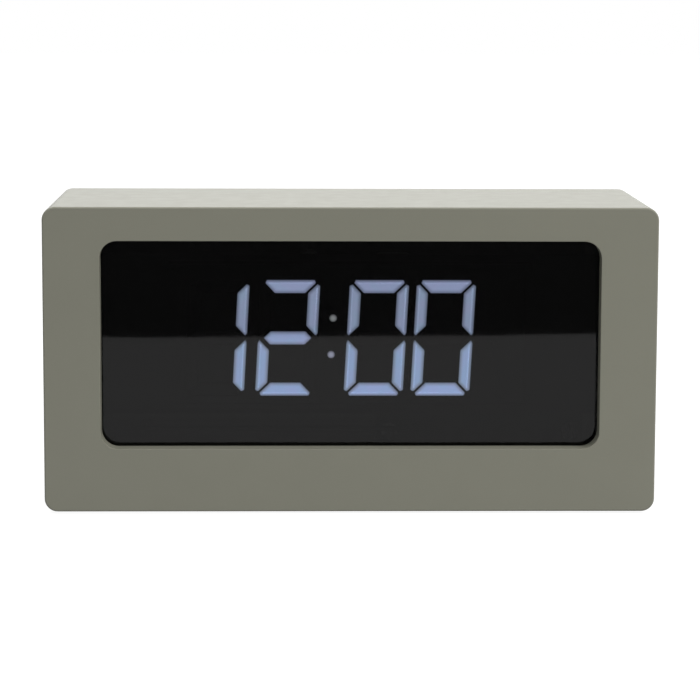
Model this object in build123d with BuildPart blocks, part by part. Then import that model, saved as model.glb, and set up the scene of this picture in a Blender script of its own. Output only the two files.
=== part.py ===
from build123d import *
import math
import os

# Digital LED desk clock, in millimetres. X runs to the right for someone reading the clock, Y from the
# front to the back and Z up. The origin is on the surface that the clock stands on, under its middle.

# Case: one moulded shell, open at the back
case_width = 150.0
case_height = 75.0
case_depth = 60.0
case_corner_radius = 3.2
case_edge_chamfer = 0.3
side_wall = 2.8
front_wall = 2.8
foot_drop = 0.7

# Window in the front wall, with a frame behind it that makes its edge deeper
window_side_margin = 13.9
window_top_margin = 8.2
window_rise = 15.6
window_corner_radius = 4.2
window_frame_depth = 2.0

# Smoked pane, its tape and the rib that keeps it in place
lens_thickness = 2.0
lens_lap = 1.6
lens_play = 0.15
lens_rib_width = 1.2
lens_rib_height = 3.0
tape_thickness = 0.2
tape_setback = 0.4

# Digits, measured on the face of the display
digit_width = 14.7
digit_height = 28.8
digit_slant = 0.0538
upright_stroke = 2.95
level_stroke = 3.3
corner_gap = 0.45
waist_gap = 0.15
waist_tip_inset = 1.42
tip_cut = 1.1
hour_tens_x = -32.76
hour_units_x = -15.39
minute_tens_x = 6.49
minute_units_x = 23.0
display_lift = 0.9
dot_diameter = 1.9
dot_spacing = 9.06
dot_lift = 0.4
alarm_dot_x = 37.0
alarm_dot_lift = 12.0

# Display block: the reflector, what fills its wells, and the foam frame in front of it
block_width = 90.0
block_height = 36.4
block_depth = 7.5
well_draft = 4.5
diffuser_depth = 1.6
diffuser_play = 0.04
peg_diameter = 2.0
peg_inset = 2.2
peg_head_diameter = 3.2
peg_head_height = 0.6
gasket_thickness = 1.0
gasket_width = 2.0

# Circuit boards and what both of them carry
board_thickness = 1.6
board_hole_play = 0.1
board_edge_play = 0.6
display_board_height = 40.0
chip_length = 1.6
chip_width = 0.8
chip_height = 0.6
chip_spread_share = 0.2

# Screws: one kind for the boards and one for the rear cover
board_screw_head = 4.6
board_screw_head_height = 1.4
board_screw_core = 2.0
board_screw_length = 7.0
cover_screw_head = 5.0
cover_screw_head_height = 1.4
cover_screw_core = 2.2
cover_screw_length = 10.0
screw_slot_width = 0.9
screw_slot_depth = 0.6
screw_cross_share = 0.55
screw_head_play = 0.3
screw_hole_play = 0.25
pilot_play = 0.02
pilot_spare = 1.5

# Bosses inside the case
cover_boss_diameter = 6.6
cover_boss_reach = 3.8
cover_boss_clear = 0.9
display_boss_diameter = 5.8
display_boss_reach = 3.8
display_boss_spacing = 28.0

# Rear cover
cover_thickness = 2.5
cover_inset = 1.5
cover_seat = 1.2
cover_play = 0.2
cover_screw_recess = 1.5

# Battery bay and its door
cell_diameter = 10.5
cell_length = 43.7
cell_nub_diameter = 3.8
cell_nub_length = 0.8
cell_gap = 0.4
cell_count = 3
cell_play = 0.3
cell_depth_play = 0.4
spring_length = 4.5
spring_width = 4.0
spring_tip = 3.0
spring_strip = 0.35
spring_leg = 0.7
contact_thickness = 0.4
contact_height = 8.4
contact_depth = 8.4
bay_wall = 1.5
bay_x = -24.0
bay_rise = 8.4
door_thickness = 1.6
door_lap = 1.6
door_play = 0.25
door_corner_radius = 1.2
door_groove_width = 1.0
door_groove_drop = 4.0
door_groove_depth = 0.5
door_groove_length = 16.0
door_groove_pitch = 2.2
door_groove_count = 3
hook_width = 6.0
hook_spacing = 30.0
hook_thickness = 1.4
hook_drop = 2.0
hook_reach = 4.2
hook_play = 0.3
latch_width = 8.0
latch_thickness = 1.2
latch_reach = 4.2
finger_width = 12.0
finger_height = 4.0
finger_depth = 1.2

# Push buttons and the switches under them
button_diameter = 8.0
button_proud = 1.0
button_play = 0.25
button_flange = 9.4
button_flange_thickness = 1.0
button_flange_gap = 0.05
button_travel = 0.3
button_pitch = 14.0
button_row_drop = 14.0
first_button_x = -42.0
button_names = ("time", "alarm", "plus", "minus", "dimmer")
switch_width = 6.0
switch_height = 6.0
switch_body_height = 3.5
plunger_diameter = 3.4
plunger_play = 0.08
plunger_depth = 1.0

# Alarm slide switch
slide_x = 38.0
slide_body_length = 8.6
slide_body_width = 4.4
slide_body_height = 3.6
slide_travel = 2.0
slide_lever_width = 2.0
slide_lever_depth = 1.5
slide_lever_play = 0.2
slide_skirt_length = 11.0
slide_skirt_width = 6.0
slide_skirt_thickness = 0.8
slide_skirt_gap = 0.2
slide_grip_length = 3.0
slide_grip_width = 3.2
slide_grip_proud = 0.9
slide_grip_play = 0.3
slide_groove_width = 0.4
slide_groove_depth = 0.3
slide_groove_pitch = 0.9

# Power inlet
inlet_inset = 12.0
inlet_rise = 16.0
inlet_width = 8.94
inlet_height = 3.26
inlet_shell = 0.3
inlet_depth = 6.2
inlet_recess = 0.6
inlet_play = 0.25
insert_play = 0.02
plug_recess_width = 13.0
plug_recess_height = 7.4
plug_recess_depth = 1.0
tongue_width = 6.7
tongue_thickness = 0.7
tongue_length = 4.6
tongue_base = 1.0

# Control board, which hangs on pillars behind the rear cover
strip_side_gap = 10.2
strip_top_drop = 4.5
strip_bay_gap = 1.0
leg_bay_gap = 5.4
leg_bottom_rise = 9.0
pillar_diameter = 5.0
pillar_inset = 3.5

# What else the control board carries
buzzer_diameter = 12.0
buzzer_height = 6.0
buzzer_inset = 14.0
buzzer_rise = 20.0
buzzer_port = 2.0
buzzer_port_depth = 1.2
sound_slit_length = 8.0
sound_slit_width = 1.2
sound_slit_pitch = 2.6
sound_slit_count = 4
chip_x = 30.0
controller_size = 10.0
controller_height = 1.5
lead_length = 1.2
lead_width = 0.4
lead_height = 0.5
lead_pitch = 1.27
leads_per_side = 7
crystal_x = 12.0
crystal_length = 11.0
crystal_width = 4.6
crystal_height = 3.6
capacitor_x = -10.0
capacitor_diameter = 6.3
capacitor_height = 7.7

# Ribbon cable and its two connectors
ribbon_inset = 24.0
ribbon_width = 12.0
ribbon_thickness = 0.8
ribbon_bend = 3.0
ribbon_straight = 5.0
ribbon_display_rise = 42.0
ribbon_control_rise = 28.0
connector_length = 15.0
connector_width = 5.0
connector_height = 5.6
connector_play = 0.1
connector_socket_depth = 2.4

# Battery leads
wire_diameter = 1.3
wire_sides = 6
wire_bend = 1.1
wire_clear = 2.6
wire_dip = 4.0
wire_landing_x = 12.0
wire_landing_pitch = 6.0

# Rubber feet
foot_diameter = 9.0
foot_side_inset = 14.0
foot_end_inset = 11.0

# Sides of the small pins, heads and holes that nobody sees, drawn without a true circle
few_sides = 8

# How far cuts run past what they cut
overrun = 1.0

# Planes across the clock, from front to back
front_y = -case_depth / 2
rear_y = case_depth / 2
cavity_front = front_y + front_wall
window_frame_back = cavity_front + window_frame_depth
lens_front = window_frame_back + tape_thickness
lens_back = lens_front + lens_thickness
display_face = lens_back + gasket_thickness
display_board_front = display_face + block_depth
display_board_back = display_board_front + board_thickness
cover_rear = rear_y - cover_inset
cover_front = cover_rear - cover_thickness
flange_rear = cover_front - button_flange_gap
flange_front = flange_rear - button_flange_thickness
control_board_rear = flange_front - switch_height
control_board_front = control_board_rear - board_thickness

# Heights and sizes that follow from the case
case_middle = foot_drop + case_height / 2
case_bottom = foot_drop
cavity_width = case_width - 2 * side_wall
cavity_height = case_height - 2 * side_wall
seat_width = cavity_width + 2 * cover_seat
seat_height = cavity_height + 2 * cover_seat
seat_corner_radius = case_corner_radius - side_wall + cover_seat
window_width = case_width - 2 * window_side_margin
window_height = case_height - window_rise - window_top_margin
window_z = case_bottom + window_rise + window_height / 2
display_z = window_z + display_lift
lens_width = window_width + 2 * lens_lap
lens_height = window_height + 2 * lens_lap
display_board_width = cavity_width - 2 * board_edge_play
cover_boss_x = cavity_width / 2 - cover_boss_reach
cover_boss_z = cavity_height / 2 - cover_boss_reach
display_boss_x = cavity_width / 2 - display_boss_reach
button_z = case_bottom + case_height - button_row_drop
foot_x = case_width / 2 - foot_side_inset
foot_y = case_depth / 2 - foot_end_inset
corners = [(sx, sz) for sx in (-1, 1) for sz in (-1, 1)]


def upright(y):
    """A plane across the clock at depth y that faces the reader: its x is X, and its y is Z."""
    return Plane.XZ.offset(-y)


def rearward(y):
    """A plane across the clock at depth y that faces the wall behind: its x is -X, and its y is Z."""
    return Plane(origin=(0, y, 0), x_dir=(-1, 0, 0), z_dir=(0, 1, 0))


def finish(piece, name):
    """Labels a finished piece and writes it under its name."""
    piece.part.label = name
    export_step(piece.part, f"parts/{name}.step")


def inset(points, amount):
    """The points of a convex outline, drawn in by amount along every side."""
    turn = sum(
        a[0] * b[1] - b[0] * a[1] for a, b in zip(points, points[1:] + points[:1])
    )
    side = math.copysign(1, turn)
    moved = []
    for before, here, after in zip(points[-1:] + points[:-1], points, points[1:] + points[:1]):
        u = (Vector(*here) - Vector(*before)).normalized()
        v = (Vector(*after) - Vector(*here)).normalized()
        inward = side * (Vector(-u.Y, u.X) + Vector(-v.Y, v.X))
        shift = inward * (amount / (1 + u.dot(v)))
        moved.append((here[0] + shift.X, here[1] + shift.Y))
    return moved


def toward(start, end, distance):
    """The point at a distance from start on the way to end."""
    step = (Vector(*end) - Vector(*start)).normalized() * distance
    return start[0] + step.X, start[1] + step.Y


def blunted(points, cuts):
    """The points of an outline, with some corners cut off at a distance along both of their sides."""
    befores, afters = points[-1:] + points[:-1], points[1:] + points[:1]
    blunt = []
    for before, here, after, cut in zip(befores, points, afters, cuts):
        blunt += [toward(here, before, cut), toward(here, after, cut)] if cut else [here]
    return blunt


def small_round(diameter):
    """A pin, head or hole that nobody sees, with a few flat sides for its round."""
    RegularPolygon(diameter / 2, few_sides)


def segment_points(letter):
    """Corners of one segment and their cuts, from the middle of its digit and before the slant."""
    side, top = digit_width / 2, digit_height / 2
    mitre, waist = corner_gap / math.sqrt(2), waist_gap / 2
    reach, half = side - waist_tip_inset, level_stroke / 2
    upright_bar = [
        (side, waist),
        (side, top - mitre),
        (side - upright_stroke, top - mitre - upright_stroke),
        (side - upright_stroke, waist + upright_stroke),
    ]
    level_bar = [
        (mitre - side, top),
        (side - mitre, top),
        (side - mitre - level_stroke, top - level_stroke),
        (mitre + level_stroke - side, top - level_stroke),
    ]
    waist_bar = [
        (-reach, 0),
        (half - reach, half),
        (reach - half, half),
        (reach, 0),
        (reach - half, -half),
        (half - reach, -half),
    ]
    bars = {
        "a": (level_bar, [tip_cut, tip_cut, 0, 0], 1, 1),
        "b": (upright_bar, [0, tip_cut, 0, 0], 1, 1),
        "c": (upright_bar, [0, tip_cut, 0, 0], 1, -1),
        "d": (level_bar, [tip_cut, tip_cut, 0, 0], 1, -1),
        "e": (upright_bar, [0, tip_cut, 0, 0], -1, -1),
        "f": (upright_bar, [0, tip_cut, 0, 0], -1, 1),
        "g": (waist_bar, [0] * len(waist_bar), 1, 1),
    }
    points, cuts, mirror_x, mirror_z = bars[letter]
    return [(x * mirror_x, z * mirror_z) for x, z in points], cuts


def segment_on_face(letter, digit_x):
    """The same corners, slanted and put in their place on the clock, as X and Z."""
    points, cuts = segment_points(letter)
    return [(digit_x + x + z * digit_slant, display_z + z) for x, z in points], cuts


def draw_segment(letter, digit_x, play):
    """Draws one segment, smaller by play on every side."""
    points, cuts = segment_on_face(letter, digit_x)
    with BuildLine() as outline:
        Polyline(*blunted(inset(points, play), cuts), close=True)
    make_face(outline.edges())


def diffusers(name, bars, dots):
    """The straight-sided plastic that fills the mouths of some wells, flush with the display's face."""
    taper = diffuser_depth * math.tan(math.radians(well_draft))
    with BuildPart() as fillers:
        with BuildSketch(upright(display_face)):
            for letter, digit_x in bars:
                draw_segment(letter, digit_x, diffuser_play + taper)
            if dots:
                with Locations(*dots):
                    Circle(dot_diameter / 2 - diffuser_play)
        extrude(amount=-diffuser_depth)
    finish(fillers, name)


def chip_places(letter, digit_x):
    """Where the two chips behind one segment sit, and whether they stand upright."""
    points, _ = segment_on_face(letter, digit_x)
    middle_x = sum(x for x, _ in points) / len(points)
    middle_z = sum(z for _, z in points) / len(points)
    stands = letter in "bcef"
    reach = chip_spread_share * (digit_height / 2 if stands else digit_width)
    for side in (-reach, reach):
        if stands:
            yield middle_x + side * digit_slant, middle_z + side, stands
        else:
            yield middle_x + side, middle_z, stands


def screws(name, places, seat, head, head_height, core, length, seen=False):
    """Equal screws, seated on a plane that faces their heads. The heads that are seen have a cross."""
    with BuildPart() as group:
        with BuildSketch(seat):
            with Locations(*places):
                if seen:
                    Circle(head / 2)
                else:
                    small_round(head)
        extrude(amount=head_height)
        if seen:
            with BuildSketch(seat.offset(head_height)):
                with Locations(*places):
                    Rectangle(head * screw_cross_share, screw_slot_width)
                    Rectangle(screw_slot_width, head * screw_cross_share)
            extrude(amount=-screw_slot_depth, mode=Mode.SUBTRACT)
        with BuildSketch(seat):
            with Locations(*places):
                small_round(core)
        extrude(amount=-length)
    finish(group, name)


# What is lit at 12:00, and what stays dark
digits = {
    "hour_tens": (hour_tens_x, "bc"),
    "hour_units": (hour_units_x, "abdeg"),
    "minute_tens": (minute_tens_x, "abcdef"),
    "minute_units": (minute_units_x, "abcdef"),
}
all_bars = [(letter, x) for x, _ in digits.values() for letter in "abcdefg"]
dark_bars = [(letter, x) for x, lit in digits.values() for letter in "abcdefg" if letter not in lit]
colon_x = (hour_units_x + minute_tens_x) / 2
colon_dots = [
    (colon_x + rise * digit_slant, display_z + rise)
    for rise in (dot_lift - dot_spacing / 2, dot_lift + dot_spacing / 2)
]
alarm_dot = (alarm_dot_x + alarm_dot_lift * digit_slant, display_z + alarm_dot_lift)

# Where the battery bay, its door and its cells come
bay_length = cell_length + cell_nub_length + spring_length + 2 * contact_thickness
bay_height = cell_count * cell_diameter + (cell_count - 1) * cell_gap + 2 * cell_play
bay_bottom = case_bottom + bay_rise
bay_top = bay_bottom + bay_height
bay_z = bay_bottom + bay_height / 2
bay_left = bay_x - bay_length / 2
bay_right = bay_x + bay_length / 2
door_front = cover_rear - door_thickness
cell_y = door_front - cell_depth_play - cell_diameter / 2
bay_floor = cell_y - cell_diameter / 2 - cell_play
bay_floor_outer = bay_floor - bay_wall
door_width = bay_length + 2 * door_lap
door_height = bay_height + 2 * door_lap
door_bottom = bay_bottom - door_lap
door_top = bay_top + door_lap
hook_places = [bay_x - hook_spacing / 2, bay_x + hook_spacing / 2]
hook_swing = math.hypot(hook_reach, hook_drop)
latch_rise = math.hypot(latch_reach, door_height) - door_height
cell_pitch = cell_diameter + cell_gap
cell_zs = [bay_bottom + cell_play + cell_diameter / 2 + i * cell_pitch for i in range(cell_count)]

# Places that more than one piece shares, as X and Z
cover_screw_places = [(sx * cover_boss_x, case_middle + sz * cover_boss_z) for sx, sz in corners]
display_screw_places = [
    (sx * display_boss_x, display_z + sz * display_boss_spacing / 2) for sx, sz in corners
]
peg_places = [
    (sx * (block_width / 2 - peg_inset), display_z + sz * (block_height / 2 - peg_inset))
    for sx, sz in corners
]
button_places = [(first_button_x + i * button_pitch, button_z) for i in range(len(button_names))]
strip_left = strip_side_gap - cavity_width / 2
strip_bottom = bay_top + bay_wall + strip_bay_gap
strip_top = case_bottom + case_height - strip_top_drop
strip_z = (strip_bottom + strip_top) / 2
leg_left = bay_right + bay_wall + leg_bay_gap
leg_right = cavity_width / 2 - strip_side_gap
leg_bottom = case_bottom + leg_bottom_rise
pillar_places = [
    (strip_left + pillar_inset, strip_bottom + pillar_inset),
    (leg_right - pillar_inset, strip_top - pillar_inset),
    (leg_right - pillar_inset, leg_bottom + pillar_inset),
    (leg_left + pillar_inset, leg_bottom + pillar_inset),
]
inlet_place = (leg_right - inlet_inset, case_bottom + inlet_rise)
buzzer_place = (leg_left + buzzer_inset, case_bottom + buzzer_rise)

os.makedirs("parts", exist_ok=True)

# Housing
with BuildPart() as housing:
    with BuildSketch(upright(front_y)):
        with Locations((0, case_middle)):
            RectangleRounded(case_width, case_height, case_corner_radius)
    extrude(amount=-case_depth)
    with BuildSketch(upright(cavity_front)):
        with Locations((0, case_middle)):
            Rectangle(cavity_width, cavity_height)
    extrude(amount=cavity_front - rear_y - overrun, mode=Mode.SUBTRACT)
    with BuildSketch(upright(cover_front)):
        with Locations((0, case_middle)):
            RectangleRounded(seat_width, seat_height, seat_corner_radius)
    extrude(amount=cover_front - rear_y - overrun, mode=Mode.SUBTRACT)
    # The window's frame, the window itself and the rib round the pane
    frame_width = lens_width + 2 * (lens_play + lens_rib_width)
    frame_height = lens_height + 2 * (lens_play + lens_rib_width)
    with BuildSketch(upright(cavity_front)):
        with Locations((0, window_z)):
            Rectangle(frame_width, frame_height)
    extrude(amount=-window_frame_depth - lens_rib_height)
    with BuildSketch(upright(window_frame_back)):
        with Locations((0, window_z)):
            Rectangle(lens_width + 2 * lens_play, lens_height + 2 * lens_play)
    extrude(amount=-lens_rib_height - overrun, mode=Mode.SUBTRACT)
    with BuildSketch(upright(front_y - overrun)):
        with Locations((0, window_z)):
            RectangleRounded(window_width, window_height, window_corner_radius)
    extrude(amount=-front_wall - window_frame_depth - 2 * overrun, mode=Mode.SUBTRACT)
    chamfer(housing.faces().sort_by(Axis.Y)[0].edges(), case_edge_chamfer)
    chamfer(housing.faces().sort_by(Axis.Y)[-1].outer_wire().edges(), case_edge_chamfer)
    # Corner bosses for the rear cover, each joined to both of its walls
    boss_front = display_board_back + cover_boss_clear
    with BuildSketch(upright(boss_front)):
        with Locations(*cover_screw_places):
            Circle(cover_boss_diameter / 2)
        for sx, sz in corners:
            middle_x = sx * (cover_boss_x + cover_boss_reach / 2)
            middle_z = case_middle + sz * (cover_boss_z + cover_boss_reach / 2)
            with Locations((middle_x, middle_z)):
                Rectangle(cover_boss_reach, cover_boss_reach)
    extrude(amount=boss_front - cover_front)
    with BuildSketch(upright(cover_front)):
        with Locations(*cover_screw_places):
            small_round(cover_screw_core + 2 * pilot_play)
    extrude(amount=cover_screw_length + pilot_spare, mode=Mode.SUBTRACT)
    # Side bosses for the display board
    with BuildSketch(upright(cavity_front)):
        with Locations(*display_screw_places):
            Circle(display_boss_diameter / 2)
        for x, z in display_screw_places:
            with Locations((x + math.copysign(display_boss_reach / 2, x), z)):
                Rectangle(display_boss_reach, display_boss_diameter)
    extrude(amount=cavity_front - display_board_front)
    with BuildSketch(upright(display_board_front)):
        with Locations(*display_screw_places):
            small_round(board_screw_core + 2 * pilot_play)
    extrude(amount=board_screw_length + pilot_spare, mode=Mode.SUBTRACT)
finish(housing, "housing")

# Rear cover
with BuildPart() as rear_cover:
    with BuildSketch(upright(cover_front)):
        with Locations((0, case_middle)):
            RectangleRounded(
                seat_width - 2 * cover_play,
                seat_height - 2 * cover_play,
                seat_corner_radius - cover_play,
            )
    extrude(amount=-cover_thickness)
    # Battery bay and pillars for the control board, on the inside
    with BuildSketch(upright(bay_floor_outer)):
        with Locations((bay_x, bay_z)):
            Rectangle(bay_length + 2 * bay_wall, bay_height + 2 * bay_wall)
    extrude(amount=bay_floor_outer - cover_front)
    with BuildSketch(upright(cover_front)):
        with Locations(*pillar_places):
            small_round(pillar_diameter)
    extrude(amount=cover_front - control_board_rear)
    # The bay's inside, and the step that the door lies on
    with BuildSketch(upright(bay_floor)):
        with Locations((bay_x, bay_z)):
            Rectangle(bay_length, bay_height)
    extrude(amount=bay_floor - cover_rear - overrun, mode=Mode.SUBTRACT)
    with BuildSketch(upright(door_front)):
        with Locations((bay_x, bay_z)):
            RectangleRounded(
                door_width + 2 * door_play,
                door_height + 2 * door_play,
                door_corner_radius + door_play,
            )
    extrude(amount=door_front - cover_rear - overrun, mode=Mode.SUBTRACT)
    # Notches for the door's hooks and latch, with room for their swing
    notch_front = cover_rear - hook_swing - hook_play
    for x in hook_places:
        with BuildSketch(upright(notch_front)):
            with Locations((x, door_bottom - door_play)):
                Rectangle(
                    hook_width + 2 * hook_play,
                    door_lap + door_play + overrun,
                    align=(Align.CENTER, Align.MIN),
                )
        extrude(amount=notch_front - door_front, mode=Mode.SUBTRACT)
    latch_notch_front = cover_rear - latch_reach - hook_play
    with BuildSketch(upright(latch_notch_front)):
        with Locations((bay_x, door_top + latch_rise + door_play)):
            Rectangle(
                latch_width + 2 * hook_play,
                door_lap + latch_rise + door_play + overrun,
                align=(Align.CENTER, Align.MAX),
            )
    extrude(amount=latch_notch_front - door_front, mode=Mode.SUBTRACT)
    # A hollow above the door for a fingertip
    with BuildSketch(upright(cover_rear - finger_depth)):
        with Locations((bay_x, door_top)):
            Rectangle(finger_width, finger_height, align=(Align.CENTER, Align.MIN))
    extrude(amount=-finger_depth - overrun, mode=Mode.SUBTRACT)
    # Holes for the buttons, the slide switch, the inlet, the sound and the screws
    with BuildSketch(upright(cover_front)):
        with Locations(*button_places):
            Circle(button_diameter / 2 + button_play)
        with Locations((slide_x, button_z)):
            Rectangle(
                slide_grip_length + slide_travel + 2 * slide_grip_play,
                slide_grip_width + 2 * slide_grip_play,
            )
        with Locations(inlet_place):
            SlotOverall(inlet_width + 2 * inlet_play, inlet_height + 2 * inlet_play)
        with Locations(buzzer_place):
            with GridLocations(sound_slit_length, sound_slit_pitch, 1, sound_slit_count):
                Rectangle(sound_slit_length, sound_slit_width)
        with Locations(*cover_screw_places):
            small_round(cover_screw_core + 2 * screw_hole_play)
    extrude(amount=-cover_thickness - overrun, mode=Mode.SUBTRACT)
    with BuildSketch(upright(cover_rear - plug_recess_depth)):
        with Locations(inlet_place):
            SlotOverall(plug_recess_width, plug_recess_height)
    extrude(amount=-plug_recess_depth - overrun, mode=Mode.SUBTRACT)
    with BuildSketch(upright(cover_rear - cover_screw_recess)):
        with Locations(*cover_screw_places):
            Circle(cover_screw_head / 2 + screw_head_play)
    extrude(amount=-cover_screw_recess - overrun, mode=Mode.SUBTRACT)
    with BuildSketch(upright(control_board_rear)):
        with Locations(*pillar_places):
            small_round(board_screw_core + 2 * pilot_play)
    extrude(amount=-board_screw_length, mode=Mode.SUBTRACT)
finish(rear_cover, "rear_cover")

# Battery door: two hooks below, a latch above, and grooves for a fingertip
with BuildPart() as battery_door:
    with BuildSketch(upright(door_front)):
        with Locations((bay_x, bay_z)):
            RectangleRounded(door_width, door_height, door_corner_radius)
    extrude(amount=-door_thickness)
    hook_front = cover_rear - hook_reach
    hook_outline = [
        (door_front, door_bottom),
        (hook_front + hook_thickness, door_bottom),
        (hook_front + hook_thickness, door_bottom - hook_drop),
        (hook_front, door_bottom - hook_drop),
        (hook_front, door_bottom + hook_thickness),
        (door_front, door_bottom + hook_thickness),
    ]
    for x in hook_places:
        with BuildSketch(Plane.YZ.offset(x - hook_width / 2)):
            with BuildLine():
                Polyline(*hook_outline, close=True)
            make_face()
        extrude(amount=hook_width)
    with BuildSketch(upright(cover_rear - latch_reach)):
        with Locations((bay_x, door_top)):
            Rectangle(latch_width, latch_thickness, align=(Align.CENTER, Align.MAX))
    extrude(amount=door_thickness - latch_reach)
    for i in range(door_groove_count):
        with BuildSketch(upright(cover_rear - door_groove_depth)):
            with Locations((bay_x, door_top - door_groove_drop - i * door_groove_pitch)):
                Rectangle(door_groove_length, door_groove_width)
        extrude(amount=-door_groove_depth - overrun, mode=Mode.SUBTRACT)
finish(battery_door, "battery_door")

# Window pane and the tape round it
with BuildPart() as display_lens:
    with BuildSketch(upright(lens_front)):
        with Locations((0, window_z)):
            Rectangle(lens_width, lens_height)
    extrude(amount=-lens_thickness)
finish(display_lens, "display_lens")

with BuildPart() as lens_adhesive:
    with BuildSketch(upright(window_frame_back)):
        with Locations((0, window_z)):
            Rectangle(lens_width, lens_height)
            Rectangle(
                window_width + 2 * tape_setback,
                window_height + 2 * tape_setback,
                mode=Mode.SUBTRACT,
            )
    extrude(amount=-tape_thickness)
finish(lens_adhesive, "lens_adhesive")

# Display block: the reflector with a tapered, slanted well for each segment
with BuildPart() as light_gasket:
    with BuildSketch(upright(lens_back)):
        with Locations((0, display_z)):
            Rectangle(block_width, block_height)
            Rectangle(
                block_width - 2 * gasket_width,
                block_height - 2 * gasket_width,
                mode=Mode.SUBTRACT,
            )
    extrude(amount=-gasket_thickness)
finish(light_gasket, "light_gasket")

with BuildPart() as digit_reflector:
    with BuildSketch(upright(display_face)):
        with Locations((0, display_z)):
            Rectangle(block_width, block_height)
    extrude(amount=-block_depth)
    with BuildSketch(upright(display_face)):
        for letter, digit_x in all_bars:
            draw_segment(letter, digit_x, 0)
    extrude(amount=-block_depth, mode=Mode.SUBTRACT)
    well_walls = digit_reflector.faces(Select.LAST).filter_by(Plane.XZ, reverse=True)
    draft(well_walls, upright(display_face), well_draft)
    with BuildSketch(upright(display_face)):
        with Locations(*colon_dots, alarm_dot):
            Circle(dot_diameter / 2)
    extrude(amount=-block_depth, mode=Mode.SUBTRACT)
    # Pegs through the display board, with their heads melted over behind it
    with BuildSketch(upright(display_board_front)):
        with Locations(*peg_places):
            small_round(peg_diameter)
    extrude(amount=-board_thickness)
    with BuildSketch(upright(display_board_back)):
        with Locations(*peg_places):
            small_round(peg_head_diameter)
    extrude(amount=-peg_head_height)
finish(digit_reflector, "digit_reflector")

for name, (digit_x, lit) in digits.items():
    diffusers(f"{name}_segments", [(letter, digit_x) for letter in lit], [])
diffusers("colon_dots", [], colon_dots)
diffusers("unlit_segments", dark_bars, [alarm_dot])

# Display board and its chips, two behind each segment and one behind each dot
with BuildPart() as display_board:
    with BuildSketch(upright(display_board_front)):
        with Locations((0, display_z)):
            Rectangle(display_board_width, display_board_height)
    extrude(amount=-board_thickness)
    with BuildSketch(upright(display_board_front)):
        with Locations(*peg_places):
            small_round(peg_diameter + 2 * board_hole_play)
        with Locations(*display_screw_places):
            small_round(board_screw_core + 2 * screw_hole_play)
    extrude(amount=-board_thickness, mode=Mode.SUBTRACT)
finish(display_board, "display_board")

with BuildPart() as led_chips:
    with BuildSketch(upright(display_board_front)):
        for letter, digit_x in all_bars:
            for x, z, stands in chip_places(letter, digit_x):
                with Locations((x, z)):
                    if stands:
                        Rectangle(chip_width, chip_length)
                    else:
                        Rectangle(chip_length, chip_width)
        with Locations(*colon_dots, alarm_dot):
            Rectangle(chip_width, chip_width)
    extrude(amount=chip_height)
finish(led_chips, "led_chips")

screws(
    "display_board_screws",
    [(-x, z) for x, z in display_screw_places],
    rearward(display_board_back),
    board_screw_head,
    board_screw_head_height,
    board_screw_core,
    board_screw_length + board_thickness,
)

# Ribbon cable between the boards, and a connector at each end
ribbon_x = leg_right - ribbon_inset
display_socket = (ribbon_x, case_bottom + ribbon_display_rise)
control_socket = (ribbon_x, case_bottom + ribbon_control_rise)
display_connector_face = display_board_back + connector_height
control_connector_face = control_board_front - connector_height

with BuildPart() as display_connector:
    with BuildSketch(upright(display_board_back)):
        with Locations(display_socket):
            Rectangle(connector_length, connector_width)
    extrude(amount=-connector_height)
    with BuildSketch(upright(display_connector_face)):
        with Locations(display_socket):
            Rectangle(ribbon_width + 2 * connector_play, ribbon_thickness + 2 * connector_play)
    extrude(amount=connector_socket_depth, mode=Mode.SUBTRACT)
finish(display_connector, "display_connector")

with BuildPart() as control_connector:
    with BuildSketch(upright(control_board_front)):
        with Locations(control_socket):
            Rectangle(connector_length, connector_width)
    extrude(amount=connector_height)
    with BuildSketch(upright(control_connector_face)):
        with Locations(control_socket):
            Rectangle(ribbon_width + 2 * connector_play, ribbon_thickness + 2 * connector_play)
    extrude(amount=-connector_socket_depth, mode=Mode.SUBTRACT)
finish(control_connector, "control_connector")

with BuildPart() as ribbon_cable:
    with BuildSketch(Plane.YZ.offset(ribbon_x - ribbon_width / 2)):
        with BuildLine():
            FilletPolyline(
                (display_connector_face - connector_socket_depth, display_socket[1]),
                (display_connector_face + ribbon_straight, display_socket[1]),
                (control_connector_face - ribbon_straight, control_socket[1]),
                (control_connector_face + connector_socket_depth, control_socket[1]),
                radius=ribbon_bend,
            )
        trace(line_width=ribbon_thickness)
    extrude(amount=ribbon_width)
finish(ribbon_cable, "ribbon_cable")

# Control board: a strip behind the buttons and a leg beside the battery bay
with BuildPart() as control_board:
    with BuildSketch(upright(control_board_front)):
        with BuildLine():
            Polyline(
                (strip_left, strip_top),
                (leg_right, strip_top),
                (leg_right, leg_bottom),
                (leg_left, leg_bottom),
                (leg_left, strip_bottom),
                (strip_left, strip_bottom),
                close=True,
            )
        make_face()
    extrude(amount=-board_thickness)
    with BuildSketch(upright(control_board_front)):
        with Locations(*pillar_places):
            small_round(board_screw_core + 2 * screw_hole_play)
    extrude(amount=-board_thickness, mode=Mode.SUBTRACT)
finish(control_board, "control_board")

screws(
    "control_board_screws",
    pillar_places,
    upright(control_board_front),
    board_screw_head,
    board_screw_head_height,
    board_screw_core,
    board_screw_length,
)

with BuildPart() as controller_chip:
    chip_place = (chip_x, strip_z)
    with BuildSketch(upright(control_board_front)):
        with Locations(chip_place):
            Rectangle(controller_size, controller_size)
    extrude(amount=controller_height)
    with BuildSketch(upright(control_board_front)):
        with Locations(chip_place):
            with PolarLocations((controller_size + lead_length) / 2, 4):
                with GridLocations(lead_length, lead_pitch, 1, leads_per_side):
                    Rectangle(lead_length, lead_width)
    extrude(amount=lead_height)
finish(controller_chip, "controller_chip")

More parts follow.
